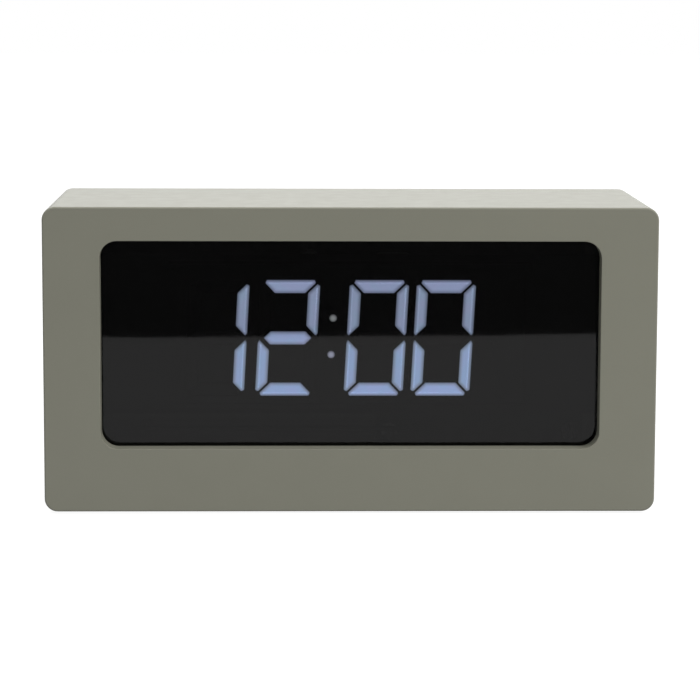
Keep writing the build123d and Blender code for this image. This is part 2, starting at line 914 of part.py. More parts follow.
with BuildPart() as clock_crystal:
    with BuildSketch(upright(control_board_front)):
        with Locations((crystal_x, strip_z)):
            SlotOverall(crystal_length, crystal_width)
    extrude(amount=crystal_height)
finish(clock_crystal, "clock_crystal")

with BuildPart() as supply_capacitor:
    with BuildSketch(upright(control_board_front)):
        with Locations((capacitor_x, strip_z)):
            Circle(capacitor_diameter / 2)
    extrude(amount=capacitor_height)
finish(supply_capacitor, "supply_capacitor")

with BuildPart() as alarm_buzzer:
    with BuildSketch(upright(control_board_rear)):
        with Locations(buzzer_place):
            Circle(buzzer_diameter / 2)
    extrude(amount=-buzzer_height)
    with BuildSketch(upright(control_board_rear + buzzer_height)):
        with Locations(buzzer_place):
            small_round(buzzer_port)
    extrude(amount=buzzer_port_depth, mode=Mode.SUBTRACT)
finish(alarm_buzzer, "alarm_buzzer")

# Power inlet: a metal shell with its tongue inside
inlet_mouth = cover_rear - inlet_recess
with BuildPart() as usb_socket:
    with BuildSketch(upright(control_board_rear)):
        with Locations(inlet_place):
            SlotOverall(inlet_width, inlet_height)
    extrude(amount=control_board_rear - inlet_mouth)
    with BuildSketch(upright(inlet_mouth)):
        with Locations(inlet_place):
            SlotOverall(inlet_width - 2 * inlet_shell, inlet_height - 2 * inlet_shell)
    extrude(amount=inlet_depth, mode=Mode.SUBTRACT)
finish(usb_socket, "usb_socket")

with BuildPart() as usb_insert:
    with BuildSketch(upright(inlet_mouth - inlet_depth)):
        with Locations(inlet_place):
            Rectangle(inlet_width - inlet_height, inlet_height - 2 * (inlet_shell + insert_play))
    extrude(amount=-tongue_base)
    with BuildSketch(upright(inlet_mouth - inlet_depth)):
        with Locations(inlet_place):
            Rectangle(tongue_width, tongue_thickness)
    extrude(amount=-tongue_length)
finish(usb_insert, "usb_insert")

# Push buttons, with the switches that they press
switch_rear = control_board_rear + switch_body_height
with BuildPart() as switch_bodies:
    with BuildSketch(upright(control_board_rear)):
        with Locations(*button_places):
            Rectangle(switch_width, switch_width)
    extrude(amount=-switch_body_height)
    with BuildSketch(upright(switch_rear)):
        with Locations(*button_places):
            small_round(plunger_diameter + 2 * plunger_play)
    extrude(amount=plunger_depth + 2 * button_travel, mode=Mode.SUBTRACT)
finish(switch_bodies, "switch_bodies")

for name, place in zip(button_names, button_places):
    button_top = cover_rear + button_proud
    with BuildPart() as button:
        with BuildSketch(upright(flange_front)):
            with Locations(place):
                Rectangle(button_flange, button_flange)
        extrude(amount=-button_flange_thickness)
        with BuildSketch(upright(flange_rear)):
            with Locations(place):
                Circle(button_diameter / 2)
        extrude(amount=flange_rear - button_top)
    finish(button, f"{name}_button")
    with BuildPart() as plunger:
        with BuildSketch(upright(switch_rear - plunger_depth)):
            with Locations(place):
                small_round(plunger_diameter)
        extrude(amount=switch_rear - plunger_depth - flange_front)
    finish(plunger, f"{name}_switch_plunger")

# Alarm slide switch, drawn with the alarm off
slide_body_rear = control_board_rear + slide_body_height
slide_rest_x = slide_x - slide_travel / 2
skirt_rear = cover_front - slide_skirt_gap
skirt_front = skirt_rear - slide_skirt_thickness
lever_front = slide_body_rear - slide_lever_depth
with BuildPart() as slide_switch_body:
    with BuildSketch(upright(control_board_rear)):
        with Locations((slide_x, button_z)):
            Rectangle(slide_body_length, slide_body_width)
    extrude(amount=-slide_body_height)
    with BuildSketch(upright(slide_body_rear)):
        with Locations((slide_x, button_z)):
            Rectangle(
                slide_lever_width + slide_travel + 2 * slide_lever_play,
                slide_lever_width + 2 * slide_lever_play,
            )
    extrude(amount=slide_lever_depth + slide_lever_play, mode=Mode.SUBTRACT)
finish(slide_switch_body, "slide_switch_body")

with BuildPart() as alarm_switch_knob:
    with BuildSketch(upright(skirt_front)):
        with Locations((slide_rest_x, button_z)):
            Rectangle(slide_skirt_length, slide_skirt_width)
    extrude(amount=-slide_skirt_thickness)
    with BuildSketch(upright(lever_front)):
        with Locations((slide_rest_x, button_z)):
            Rectangle(slide_lever_width, slide_lever_width)
    extrude(amount=lever_front - skirt_front)
    with BuildSketch(upright(skirt_rear)):
        with Locations((slide_rest_x, button_z)):
            Rectangle(slide_grip_length, slide_grip_width)
    extrude(amount=skirt_rear - cover_rear - slide_grip_proud)
    for i in (-1, 0, 1):
        with BuildSketch(upright(cover_rear + slide_grip_proud - slide_groove_depth)):
            with Locations((slide_rest_x + i * slide_groove_pitch, button_z)):
                Rectangle(slide_groove_width, slide_grip_width + overrun)
        extrude(amount=-slide_groove_depth - overrun, mode=Mode.SUBTRACT)
finish(alarm_switch_knob, "alarm_switch_knob")

# Cells: the lower and upper ones point right, and the middle one points left
cell_names = [f"battery_cell_{place}" for place in ("lower", "middle", "upper")]
for i, (name, z) in enumerate(zip(cell_names, cell_zs)):
    ahead = 1 if i % 2 == 0 else -1
    nub_tip = bay_x + ahead * (bay_length / 2 - contact_thickness)
    cell_top = nub_tip - ahead * cell_nub_length
    along = Plane(origin=(cell_top, cell_y, z), x_dir=(0, 1, 0), z_dir=(ahead, 0, 0))
    with BuildPart() as cell:
        with BuildSketch(along):
            Circle(cell_diameter / 2)
        extrude(amount=-cell_length)
        with BuildSketch(along):
            small_round(cell_nub_diameter)
        extrude(amount=cell_nub_length)
    finish(cell, name)

# Contact plates: one joins two cells at each end, and one serves a lead
with BuildPart() as battery_contacts:
    for x, pair, single in ((bay_left, (1, 2), 0), (bay_right - contact_thickness, (0, 1), 2)):
        with BuildSketch(Plane.YZ.offset(x)):
            with Locations((cell_y, (cell_zs[pair[0]] + cell_zs[pair[1]]) / 2)):
                Rectangle(contact_depth, contact_height + cell_pitch)
            with Locations((cell_y, cell_zs[single])):
                Rectangle(contact_depth, contact_height)
        extrude(amount=contact_thickness)
finish(battery_contacts, "battery_contacts")

with BuildPart() as battery_springs:
    for i, z in enumerate(cell_zs):
        inward = 1 if i % 2 == 0 else -1
        plate = bay_x - inward * (bay_length / 2 - contact_thickness)
        foot, tip = contact_height / 2, spring_tip / 2
        bridge = [
            (0, foot),
            (spring_length, tip),
            (spring_length, -tip),
            (0, -foot),
            (0, spring_leg - foot),
            (spring_length - spring_strip, -tip),
            (spring_length - spring_strip, tip),
            (0, foot - spring_leg),
        ]
        with BuildSketch(upright(cell_y - spring_width / 2)):
            with BuildLine():
                Polyline(*[(plate + inward * reach, z + rise) for reach, rise in bridge], close=True)
            make_face()
        extrude(amount=-spring_width)
finish(battery_springs, "battery_springs")

# Battery leads, from the two single contacts to the front of the control board
lead_start_y = cell_y
positive_route = [
    (bay_right + bay_wall, lead_start_y, cell_zs[-1]),
    (bay_right + bay_wall + wire_clear, lead_start_y, cell_zs[-1]),
    (bay_right + bay_wall + wire_clear, control_board_front - wire_dip, cell_zs[-1]),
    (wire_landing_x, control_board_front - wire_dip, cell_zs[-1]),
    (wire_landing_x, control_board_front, cell_zs[-1]),
]
negative_route = [
    (bay_left - bay_wall, lead_start_y, cell_zs[0]),
    (bay_left - bay_wall - wire_clear, lead_start_y, cell_zs[0]),
    (bay_left - bay_wall - wire_clear, bay_floor_outer - wire_clear, cell_zs[0]),
    (wire_landing_x + wire_landing_pitch, bay_floor_outer - wire_clear, cell_zs[0]),
    (wire_landing_x + wire_landing_pitch, control_board_front, cell_zs[0]),
]
for name, route in (("positive", positive_route), ("negative", negative_route)):
    with BuildPart() as lead:
        with BuildLine() as lead_path:
            FilletPolyline(*route, radius=wire_bend)
        with BuildSketch(Plane(origin=lead_path.line @ 0, z_dir=lead_path.line % 0)):
            RegularPolygon(wire_diameter / 2, wire_sides)
        sweep()
    finish(lead, f"battery_lead_{name}")

screws(
    "rear_cover_screws",
    [(-x, z) for x, z in cover_screw_places],
    rearward(cover_rear - cover_screw_recess),
    cover_screw_head,
    cover_screw_head_height,
    cover_screw_core,
    cover_screw_length,
    seen=True,
)

# Rubber feet
with BuildPart() as rubber_feet:
    with BuildSketch(Plane.XY):
        with GridLocations(2 * foot_x, 2 * foot_y, 2, 2):
            Circle(foot_diameter / 2)
    extrude(amount=foot_drop)
finish(rubber_feet, "rubber_feet")
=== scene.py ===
import math
import bmesh
import bpy
from mathutils import Matrix, Vector


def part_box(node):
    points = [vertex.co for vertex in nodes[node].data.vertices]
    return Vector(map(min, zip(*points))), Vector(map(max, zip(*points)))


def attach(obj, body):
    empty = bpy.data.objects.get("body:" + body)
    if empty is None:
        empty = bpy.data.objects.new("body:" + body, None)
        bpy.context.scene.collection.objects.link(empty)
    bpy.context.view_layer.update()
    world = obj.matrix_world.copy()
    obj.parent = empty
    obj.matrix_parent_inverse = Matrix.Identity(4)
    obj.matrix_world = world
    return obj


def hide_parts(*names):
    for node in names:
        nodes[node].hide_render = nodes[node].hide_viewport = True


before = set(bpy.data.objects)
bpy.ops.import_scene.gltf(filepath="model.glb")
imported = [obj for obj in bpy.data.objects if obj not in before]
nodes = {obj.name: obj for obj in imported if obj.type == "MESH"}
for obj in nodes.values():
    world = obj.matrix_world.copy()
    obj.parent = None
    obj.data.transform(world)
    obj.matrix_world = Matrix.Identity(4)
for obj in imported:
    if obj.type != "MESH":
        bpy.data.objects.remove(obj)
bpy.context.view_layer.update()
collection = bpy.context.scene.collection

# The clock's looks. Lengths in this file are in millimetres unless a name ends in _m, and are turned
# into metres where a mesh, a lamp or a material is made. X runs to the right for someone reading the
# clock, Y from the front to the back and Z up.
MM = 0.001


# ---- Finishes
noise_low, noise_high = 0.3, 0.7  # most of a noise lies between these


class Finish:
    """A procedural material round one Principled shader, laid out in the clock's own coordinates."""

    def __init__(self, name, roughness, **sockets):
        self.material = bpy.data.materials.new(name)
        self.material.use_nodes = True
        self.tree = self.material.node_tree
        self.shader = self.tree.nodes["Principled BSDF"]
        self.place = self.add("ShaderNodeTexCoord").outputs["Object"]
        self.shader.inputs["Roughness"].default_value = roughness
        for socket, value in sockets.items():
            self.shader.inputs[socket.replace("_", " ")].default_value = value

    def add(self, kind, **settings):
        node = self.tree.nodes.new(kind)
        for key, value in settings.items():
            setattr(node, key, value)
        return node

    def link(self, start, end):
        self.tree.links.new(start, end)

    def drive(self, name, value):
        """Lets a socket give one of the shader's values."""
        self.link(value, self.shader.inputs[name])

    def attribute(self, name):
        """A value that a mesh carries at its vertices."""
        return self.add("ShaderNodeAttribute", attribute_name=name).outputs["Fac"]

    def noise(self, size, detail=2.0, stretch=(1, 1, 1), shift=0.0):
        """Noise whose spots are about size across, drawn out along an axis where stretch is above 1."""
        mapping = self.add("ShaderNodeMapping")
        mapping.inputs["Scale"].default_value = [1 / (size * MM * s) for s in stretch]
        mapping.inputs["Location"].default_value = (shift, shift, shift)
        self.link(self.place, mapping.inputs["Vector"])
        noise = self.add("ShaderNodeTexNoise")
        noise.inputs["Scale"].default_value = 1.0
        noise.inputs["Detail"].default_value = detail
        self.link(mapping.outputs["Vector"], noise.inputs["Vector"])
        return noise.outputs["Fac"]

    def span(self, value, start, end, low, high, smooth=False):
        """A value spread from start..end to low..high."""
        node = self.add("ShaderNodeMapRange")
        if smooth:
            node.interpolation_type = "SMOOTHSTEP"
        for socket, number in zip(("From Min", "From Max", "To Min", "To Max"), (start, end, low, high)):
            node.inputs[socket].default_value = number
        self.link(value, node.inputs["Value"])
        return node.outputs["Result"]

    def spread(self, noise, low, high):
        """Noise spread to low..high."""
        return self.span(noise, noise_low, noise_high, low, high)

    def mix(self, share, first, second, blend="MIX"):
        """A colour between two, or another blend of them: each is a socket or a plain value."""
        node = self.add("ShaderNodeMix", data_type="RGBA", blend_type=blend)
        sockets = (node.inputs[0], node.inputs[6], node.inputs[7])
        for socket, value in zip(sockets, (share, first, second)):
            if isinstance(value, bpy.types.NodeSocket):
                self.link(value, socket)
            else:
                socket.default_value = (*value, 1) if isinstance(value, tuple) else value
        return node.outputs[2]

    def tinted(self, colour, tint):
        """One colour socket multiplied by another."""
        return self.mix(1.0, colour, tint, "MULTIPLY")

    def ramp(self, value, places, colours):
        """A colour that follows a value through colours at places along it."""
        node = self.add("ShaderNodeValToRGB")
        elements = node.color_ramp.elements
        while len(elements) < len(colours):
            elements.new(0.5)
        for element, place, colour in zip(elements, places, colours):
            element.position = place
            element.color = (*colour, 1)
        self.link(value, node.inputs["Fac"])
        return node.outputs["Color"]

    def bump(self, height, depth):
        """Relief of a depth."""
        node = self.add("ShaderNodeBump")
        node.inputs["Distance"].default_value = depth * MM
        node.inputs["Strength"].default_value = 1.0
        self.link(height, node.inputs["Height"])
        self.drive("Normal", node.outputs["Normal"])


def shade(colour, amount):
    """A colour made darker or lighter."""
    return tuple(part * amount for part in colour)


def moulded(name, colour, roughness, grain, grain_depth, mottle, spot=9.0):
    """Moulded or coated plastic: faint clouds of tone, a fine grain and slightly uneven gloss."""
    f = Finish(name, roughness)
    gloss_range = 0.025
    darker, lighter = shade(colour, 1 - mottle), shade(colour, 1 + mottle)
    clouds = f.mix(f.spread(f.noise(spot, detail=3.0), 0, 1), darker, lighter)
    specks = f.mix(f.span(f.noise(grain, detail=1.0, shift=3.1), 0.25, 0.75, 0, 1), darker, lighter)
    f.drive("Base Color", f.mix(0.5, clouds, specks))
    gloss = f.noise(spot / 3, detail=4.0, shift=7.7)
    f.drive("Roughness", f.spread(gloss, roughness - gloss_range, roughness + gloss_range))
    f.bump(f.noise(grain, shift=1.3), grain_depth)
    return f.material


def brushed(name, colour, roughness, axis):
    """Drawn or plated metal with fine lines along one axis and clouded tone."""
    f = Finish(name, roughness, Metallic=1.0)
    line, line_stretch, line_depth, cloud = 0.25, 12, 0.01, 2.5
    smoother, rougher, darkest, lightest = 0.08, 0.1, 0.86, 1.05
    lines = f.noise(line, detail=3.0, stretch=[line_stretch if letter == axis else 1 for letter in "XYZ"])
    clouds = f.noise(cloud, detail=3.0, shift=5.0)
    f.drive("Base Color", f.mix(f.spread(clouds, 0, 1), shade(colour, darkest), shade(colour, lightest)))
    f.drive("Roughness", f.spread(lines, roughness - smoother, roughness + rougher))
    f.bump(lines, line_depth)
    return f.material


case_colour = (0.208, 0.207, 0.165)
button_colour = shade(case_colour, 0.9)
case_plastic = moulded("case_plastic", case_colour, 0.46, 0.22, 0.012, mottle=0.025, spot=14.0)
button_plastic = moulded("button_plastic", button_colour, 0.42, 0.3, 0.008, mottle=0.03, spot=5.0)
black_block = moulded("black_block", (0.012, 0.012, 0.012), 0.62, 0.35, 0.02, mottle=0.2)
black_tape = moulded("black_tape", (0.012, 0.012, 0.013), 0.7, 0.5, 0.02, mottle=0.25)
black_foam = moulded("black_foam", (0.014, 0.014, 0.014), 0.95, 0.6, 0.12, mottle=0.4, spot=2.0)
dark_diffuser = moulded("dark_diffuser", (0.012, 0.012, 0.012), 0.5, 0.4, 0.01, mottle=0.15)
chip_resin = moulded("chip_resin", (0.02, 0.02, 0.022), 0.55, 0.15, 0.01, mottle=0.2, spot=2.0)
connector_plastic = moulded("connector_plastic", (0.6, 0.57, 0.5), 0.5, 0.4, 0.01, mottle=0.05, spot=4.0)
tongue_plastic = moulded("tongue_plastic", (0.018, 0.018, 0.02), 0.45, 0.2, 0.006, mottle=0.15, spot=2.0)
foot_rubber = moulded("foot_rubber", (0.022, 0.022, 0.021), 0.85, 0.25, 0.03, mottle=0.25, spot=2.5)
red_lead = moulded("red_lead", (0.42, 0.02, 0.015), 0.42, 0.5, 0.01, mottle=0.08, spot=3.0)
black_lead = moulded("black_lead", (0.02, 0.02, 0.02), 0.42, 0.5, 0.01, mottle=0.2, spot=3.0)
led_package = moulded("led_package", (0.75, 0.72, 0.5), 0.4, 0.15, 0.005, mottle=0.06, spot=0.8)
plated_steel = brushed("plated_steel", (0.72, 0.71, 0.68), 0.28, "Z")
can_metal = brushed("can_metal", (0.62, 0.62, 0.61), 0.32, "Y")


def screw_finish():
    """Blackened screw steel whose cross pits carry painted shade as well as grease: near black and barely
    metallic there.
    """
    f = Finish("screw_steel", 0.36, Metallic=1.0)
    clouds = f.noise(1.2, detail=3.0, shift=5.0)
    plate = f.mix(f.spread(clouds, 0, 1), (0.17, 0.17, 0.168), (0.22, 0.22, 0.217))
    pit_shade, pit_edge, pit_floor = f.attribute("pit_shade"), 0.15, 0.6
    # The pit mask paints shade into the cross pits: a near black colour and little metal sheen where it
    # is 1.
    f.drive("Base Color", f.mix(f.span(pit_shade, pit_edge, pit_floor, 0, 1), plate, (0.006, 0.006, 0.006)))
    f.drive("Metallic", f.span(pit_shade, pit_edge, pit_floor, 1.0, 0.2))
    f.drive("Roughness", f.spread(clouds, 0.3, 0.42))
    f.bump(f.noise(0.3, detail=3.0), 0.006)
    return f.material


screw_steel = screw_finish()


def laminate(name, mask):
    """Circuit board: coated glass laminate whose faint weave shows through the mask's colour."""
    f = Finish(name, 0.4, Coat_Weight=0.25)
    weave_pitch, weave_depth = 1.6, 0.01
    weave = f.add("ShaderNodeTexBrick")
    for socket, value in {
        "Scale": 1 / (weave_pitch * MM),
        "Color1": (0, 0, 0, 1),
        "Color2": (0.25, 0.25, 0.25, 1),
        "Mortar": (1, 1, 1, 1),
        "Mortar Size": 0.03,
    }.items():
        weave.inputs[socket].default_value = value
    upright = f.add("ShaderNodeMapping")
    upright.inputs["Rotation"].default_value = (math.radians(90), 0, 0)
    f.link(f.place, upright.inputs["Vector"])
    f.link(upright.outputs["Vector"], weave.inputs["Vector"])
    tone = f.mix(weave.outputs["Fac"], mask, shade(mask, 1.5))
    clouds = f.span(f.noise(6.0), 0.35, 0.65, 0, 0.5)
    f.drive("Base Color", f.mix(clouds, tone, shade(mask, 0.7)))
    f.bump(weave.outputs["Fac"], weave_depth)
    return f.material


board_black = laminate("board_black", (0.008, 0.01, 0.01))
board_green = laminate("board_green", (0.012, 0.06, 0.03))


def smoked_glass():
    """The pane: a smoked, glossy sheet that lets little through, with a trace of haze."""
    f = Finish("smoked_pane", 0.026, Transmission_Weight=1.0, IOR=1.3)
    tint, through, haze = (1, 1, 1.02), 0.06, 0.03
    share = f.span(f.noise(30.0, detail=3.0), 0.35, 0.65, 0, 1)
    low, high = shade(tint, through * (1 - haze)), shade(tint, through * (1 + haze))
    f.drive("Base Color", f.mix(share, low, high))
    return f.material


smoked_pane = smoked_glass()


def ribbon_film():
    """Flat cable: grey film with parallel conductors under it."""
    f = Finish("ribbon_film", 0.35)
    conductor_pitch, relief = 1.27, 0.08
    wave = f.add("ShaderNodeTexWave", wave_type="BANDS", bands_direction="X")
    wave.inputs["Scale"].default_value = 1 / (conductor_pitch * MM * math.pi)
    f.link(f.place, wave.inputs["Vector"])
    f.drive("Base Color", f.mix(wave.outputs["Fac"], (0.32, 0.32, 0.33), (0.5, 0.5, 0.5)))
    f.bump(wave.outputs["Fac"], relief)
    return f.material


ribbon = ribbon_film()


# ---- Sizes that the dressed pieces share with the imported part
case_width, case_height, case_depth = 150.0, 75.0, 60.0
case_corner = 3.2
foot_drop = 0.7
case_middle = foot_drop + case_height / 2
front_y, rear_y = -case_depth / 2, case_depth / 2
side_wall = 2.8
cavity_front = -27.2
cover_front, cover_rear = 26.0, 28.5
cavity_width, cavity_height = case_width - 2 * side_wall, case_height - 2 * side_wall
seat_lap, seat_corner = 1.2, 1.6
window_width, window_height, window_corner, window_z = 122.2, 51.1, 4.2, 41.85
frame_back, pane_pocket, frame_band, rib_back = -25.2, 1.75, 2.95, -22.2
display_face = -22.0
display_z = 42.75
four_corners = ((1, 1), (-1, 1), (-1, -1), (1, -1))


# ---- Mesh helpers
def smooth_piece(name, bm, body, material, sharp=35.0):
    """Turns mesh code into a piece that rides on a body and has its finish."""
    bmesh.ops.recalc_face_normals(bm, faces=bm.faces)
    bmesh.ops.scale(bm, vec=(MM, MM, MM), verts=bm.verts)
    mesh = bpy.data.meshes.new(name)
    bm.to_mesh(mesh)
    bm.free()
    mesh.polygons.foreach_set("use_smooth", [True] * len(mesh.polygons))
    mesh.set_sharp_from_angle(angle=math.radians(sharp))
    mesh.materials.append(material)
    piece = bpy.data.objects.new(name, mesh)
    collection.objects.link(piece)
    even = piece.modifiers.new("even_shading", "WEIGHTED_NORMAL")
    even.keep_sharp = True
    even.weight = 100
    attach(piece, body)
    return piece


def node_box(name):
    """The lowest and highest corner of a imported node, in millimetres."""
    low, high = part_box(name)
    return low / MM, high / MM


def rounded_loop(bm, width, height, radius, middle, y, arc_steps=10):
    """Vertices round a rounded rectangle that stands across the clock at depth y."""
    found = []
    for quarter, (sx, sz) in enumerate(four_corners):
        corner_x = middle[0] + sx * (width / 2 - radius)
        corner_z = middle[1] + sz * (height / 2 - radius)
        for step in range(arc_steps + 1):
            turn = math.radians(90 * (quarter + step / arc_steps))
            x, z = corner_x + radius * math.cos(turn), corner_z + radius * math.sin(turn)
            found.append(bm.verts.new((x, y, z)))
    return found


def bridge(bm, first, second):
    """Faces between two rings of as many vertices."""
    for i in range(len(first)):
        j = (i + 1) % len(first)
        bm.faces.new((first[i], first[j], second[j], second[i]))


def fillet_steps(radius, steps=4):
    """(inset, drop) from a face to the side next to it, round an edge of a radius."""
    for step in range(steps + 1):
        turn = math.radians(90 * step / steps)
        yield radius * (1 - math.sin(turn)), radius * (1 - math.cos(turn))


# ---- Housing: one closed shell of rounded loops, from the outside through the cavity to the window
def build_housing():
    bm = bmesh.new()
    outer_round, window_round, rim_round = 0.5, 0.15, 0.25
    pocket_corner = 0.3
    outside = (case_width, case_height, case_corner, (0, case_middle))
    seat = (cavity_width + 2 * seat_lap, cavity_height + 2 * seat_lap, seat_corner, (0, case_middle))
    window = (window_width, window_height, window_corner, (0, window_z))
    loops = []

    def ring(outline, grown, y, corner=None):
        """A loop round an outline grown on every side; its corners grow too, unless one is given."""
        width, height, radius, middle = outline
        radius = corner or radius + grown
        loops.append(rounded_loop(bm, width + 2 * grown, height + 2 * grown, radius, middle, y))

    for inset, drop in fillet_steps(outer_round):
        ring(outside, -inset, front_y + drop)
    for inset, drop in reversed(list(fillet_steps(rim_round))):
        ring(outside, -inset, rear_y - drop)
    for inset, drop in fillet_steps(rim_round, 3):
        ring(seat, inset, rear_y - drop)
    ring(seat, 0, cover_front)
    ring(seat, -seat_lap, cover_front)
    ring(seat, -seat_lap, cavity_front)
    ring(window, frame_band, cavity_front, pocket_corner)
    ring(window, frame_band, rib_back, pocket_corner)
    ring(window, pane_pocket, rib_back, pocket_corner)
    ring(window, pane_pocket, frame_back, pocket_corner)
    ring(window, 0, frame_back)
    for inset, drop in reversed(list(fillet_steps(window_round))):
        ring(window, inset, front_y + drop)
    for first, second in zip(loops, loops[1:] + loops[:1]):
        bridge(bm, first, second)
    piece = smooth_piece("housing_shell", bm, "case", case_plastic, sharp=50)
    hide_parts("housing")


build_housing()


# ---- Display: the lit bars and dots, each a filler flush with the mouth of its well
digit_width, digit_height, digit_slant = 14.7, 28.8, 0.0538
upright_stroke, level_stroke = 2.95, 3.3
corner_gap, waist_gap, waist_tip_inset, tip_cut = 0.45, 0.15, 1.42, 1.1
waist_point, waist_tip_cut = 0.48, 1.15
digit_places = {
    "hour_tens": (-32.76, "bc"),
    "hour_units": (-15.39, "abdeg"),
    "minute_tens": (6.49, "abcdef"),
    "minute_units": (23.0, "abcdef"),
}
dot_diameter, dot_spacing, dot_lift, dot_sides = 1.9, 9.06, 0.4, 28
filler_depth = 1.6

# The rings of a filler, from its back to its core: how far each is drawn in, how far it lies behind the
# display's face, the rounding of its corners, and its glow from 0 at the rim to 1 at the core
filler_rings = (
    (0.0, filler_depth, 0.36, 0.0),
    (0.0, 0.08, 0.36, 0.0),
    (0.03, 0.02, 0.36, 0.05),
    (0.08, 0.0, 0.35, 0.15),
    (0.24, 0.0, 0.32, 0.4),
    (0.5, 0.0, 0.26, 0.6),
    (0.75, 0.0, 0.2, 0.85),
    (1.0, 0.0, 0.14, 1.0),
)

# The rings of a dot: share of its radius, depth behind the display's face, and glow
dot_rings = (
    (1.0, filler_depth, 0.0),
    (1.0, 0.08, 0.0),
    (0.97, 0.01, 0.0),
    (0.8, 0.0, 0.25),
    (0.55, 0.0, 0.65),
    (0.25, 0.0, 1.0),
)


def bar_outline(letter, digit_x):
    """The corners of one bar of a digit on the clock, as X and Z, going round once."""
    side, top = digit_width / 2, digit_height / 2
    mitre, waist = corner_gap / math.sqrt(2), waist_gap / 2
    reach, half = side - waist_tip_inset, level_stroke / 2
    slope = tip_cut * math.sqrt(0.5)
    if letter in "bcef":
        points = [
            (side - waist_point, waist + waist_point),
            (side, waist + waist_tip_cut),
            (side, top - mitre - tip_cut),
            (side - slope, top - mitre - slope),
            (side - upright_stroke, top - mitre - upright_stroke),
            (side - upright_stroke, waist + upright_stroke),
        ]
    elif letter in "ad":
        points = [
            (mitre - side + tip_cut, top),
            (side - mitre - tip_cut, top),
            (side - mitre - slope, top - slope),
            (side - mitre - level_stroke, top - level_stroke),
            (mitre + level_stroke - side, top - level_stroke),
            (mitre - side + slope, top - slope),
        ]
    else:
        points = [
            (-reach, 0),
            (half - reach, half),
            (reach - half, half),
            (reach, 0),
            (reach - half, -half),
            (half - reach, -half),
        ]
    mirror_x = -1 if letter in "ef" else 1
    mirror_z = -1 if letter in "cde" else 1
    points = [(x * mirror_x, z * mirror_z) for x, z in points]
    if mirror_x * mirror_z < 0:
        points.reverse()
    return [Vector((digit_x + x + z * digit_slant, display_z + z)) for x, z in points]


def turning(points):
    """Positive for an outline that goes round one way, negative for the other."""
    return sum(a.x * b.y - b.x * a.y for a, b in zip(points, points[1:] + points[:1]))


def drawn_in(points, amount):
    """The outline moved inward by amount along every side."""
    side = math.copysign(1, turning(points))
    moved = []
    for before, here, after in zip(points[-1:] + points[:-1], points, points[1:] + points[:1]):
        u, v = (here - before).normalized(), (after - here).normalized()
        inward = side * (Vector((-u.y, u.x)) + Vector((-v.y, v.x)))
        moved.append(here + inward * (amount / (1 + u.dot(v))))
    return moved


def softened_corners(points, radius):
    """The outline with each corner rounded by a small arc, which takes up less than half of a side."""
    steps, largest_share = 3, 0.4
    soft = []
    for before, here, after in zip(points[-1:] + points[:-1], points, points[1:] + points[:1]):
        to_before, to_after = before - here, after - here
        reach = min(radius, to_before.length * largest_share, to_after.length * largest_share)
        start, end = here + to_before.normalized() * reach, here + to_after.normalized() * reach
        for step in range(steps + 1):
            t = step / steps
            soft.append(start * (1 - t) ** 2 + here * (2 * t * (1 - t)) + end * t ** 2)
    return soft


def add_filler(bm, glow, rings):
    """A closed body of (outline, depth behind the face, glow) rings, and a list of its vertices."""
    made = []
    for outline, depth, value in rings:
        loop = [bm.verts.new((p.x, display_face + depth, p.y)) for p in outline]
        for vert in loop:
            vert[glow] = value
        made.append(loop)
    for first, second in zip(made, made[1:]):
        bridge(bm, first, second)
    bm.faces.new(made[0][::-1])
    bm.faces.new(made[-1])
    return [vert for loop in made for vert in loop]


def lit_finish(name, lower, upper):
    """Lit filler: lower and upper give its colours below and above the display's middle, from the rim
    to the core."""
    f = Finish(name, 0.55)
    strength, grain, grain_depth = 15.7, 0.5, 0.01
    unlit = f.mix(f.spread(f.noise(3.0), 0, 1), (0.2, 0.2, 0.21), (0.26, 0.26, 0.27))
    f.drive("Base Color", unlit)
    core, core_places = f.attribute("glow"), (0.0, 0.6, 1.0)
    height = f.add("ShaderNodeSeparateXYZ")
    f.link(f.place, height.inputs["Vector"])
    change_half = 4
    change_start, change_end = (display_z - change_half) * MM, (display_z + change_half) * MM
    level = f.span(height.outputs["Z"], change_start, change_end, 0, 1, smooth=True)
    tone = f.mix(level, f.ramp(core, core_places, lower), f.ramp(core, core_places, upper))
    violet_share = f.span(f.noise(2.6, shift=2.0), 0.35, 0.65, 0, 0.75)
    violet = f.mix(violet_share, (1, 1, 1), (1.06, 0.97, 1.0))
    green_share = f.span(f.noise(3.2, detail=1.0, shift=9.0), 0.45, 0.7, 0, 0.6)
    clouds = f.mix(green_share, violet, (0.92, 1.02, 0.97))
    bluer = f.mix(f.attribute("level_bar"), (1, 1, 1), (1.09, 1.06, 1.12))
    f.drive("Emission Color", f.tinted(f.tinted(tone, clouds), bluer))
    f.shader.inputs["Emission Strength"].default_value = strength
    f.bump(f.noise(grain, shift=4.0), grain_depth)
    return f.material


lit_diffuser = lit_finish(
    "lit_diffuser",
    lower=((0.07, 0.09, 0.12), (0.208, 0.262, 0.368), (0.248, 0.342, 0.53)),
    upper=((0.055, 0.065, 0.09), (0.165, 0.202, 0.287), (0.231, 0.286, 0.41)),
)
dot_diffuser = lit_finish(
    "dot_diffuser",
    lower=((0.06, 0.065, 0.08), (0.2, 0.213, 0.27), (0.257, 0.274, 0.353)),
    upper=((0.045, 0.048, 0.05), (0.15, 0.16, 0.163), (0.192, 0.206, 0.209)),
)


